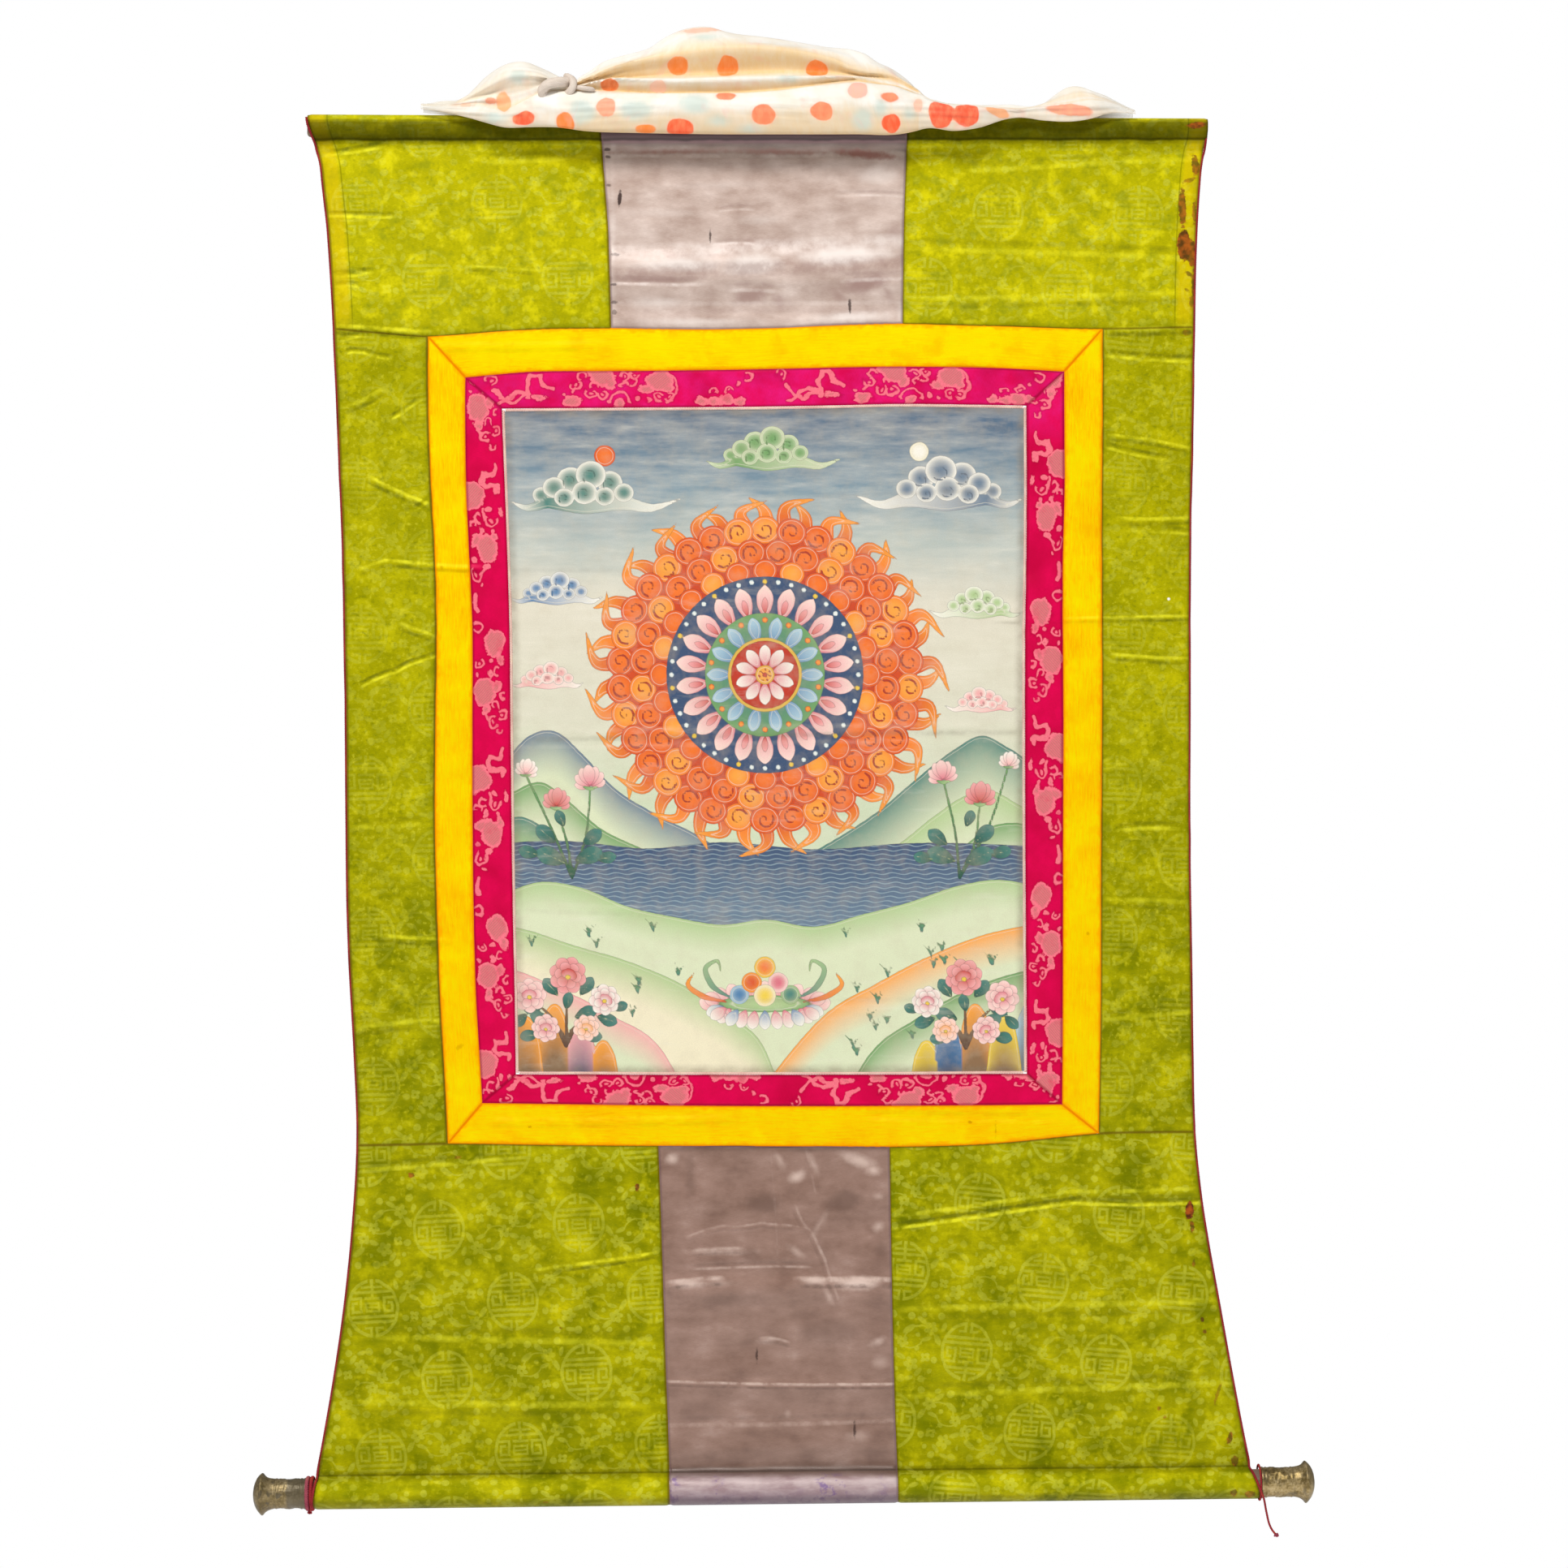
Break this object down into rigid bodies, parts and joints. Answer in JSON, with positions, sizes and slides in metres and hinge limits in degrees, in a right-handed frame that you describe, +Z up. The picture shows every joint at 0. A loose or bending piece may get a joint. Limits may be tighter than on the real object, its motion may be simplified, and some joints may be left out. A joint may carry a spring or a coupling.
{
  "type": "thangka scroll painting with its batten, roller and gathered silk cover",
  "caption": "Hanging scroll: a picture in two mitred silk borders, let into a figured damask mount with a batten above, a capped roller below and a thin cover gathered up over the top.",
  "frame": {"origin": "on the top edge, above the middle of the picture, in the middle of the cloth's thickness: where the scroll hangs", "axes": "+Z up, +X to the viewer's right, -Y out of the front towards the viewer; the wall is on the +Y side"},
  "size_m": [1.046, 0.0577, 1.4839],
  "materials": {
    "picture_ground": "sized cotton, painted",
    "pale_piping": "silk cord, matt",
    "pink_brocade": "silk brocade, worn",
    "yellow_silk": "plain silk, soft sheen",
    "green_damask": "silk damask, soft sheen",
    "faded_satin": "satin, faded",
    "mauve_satin": "satin, creased",
    "plain_wood": "raw, aged",
    "cap_metal": "chased, tarnished",
    "red_cord": "twisted cotton",
    "cover_silk": "thin printed silk, sheer"
  },
  "bodies": {
    "root": {"picture": "picture_ground", "piping_top": "pale_piping", "piping_foot": "pale_piping", "piping_left": "pale_piping", "piping_right": "pale_piping", "band_top": "pink_brocade", "band_foot": "pink_brocade", "band_left": "pink_brocade", "band_right": "pink_brocade", "frame_top": "yellow_silk", "frame_foot": "yellow_silk", "frame_left": "yellow_silk", "frame_right": "yellow_silk", "damask_top_left": "green_damask", "damask_top_right": "green_damask", "damask_left": "green_damask", "damask_right": "green_damask", "damask_foot_left": "green_damask", "damask_foot_right": "green_damask", "satin_top": "faded_satin", "satin_foot": "mauve_satin", "batten": "plain_wood", "dowel": "plain_wood", "cap_left": "cap_metal", "cap_right": "cap_metal", "edge_cord_left": "red_cord", "edge_cord_right": "red_cord", "cord_tail": "red_cord", "cover": "cover_silk"}
  },
  "joints": []
}
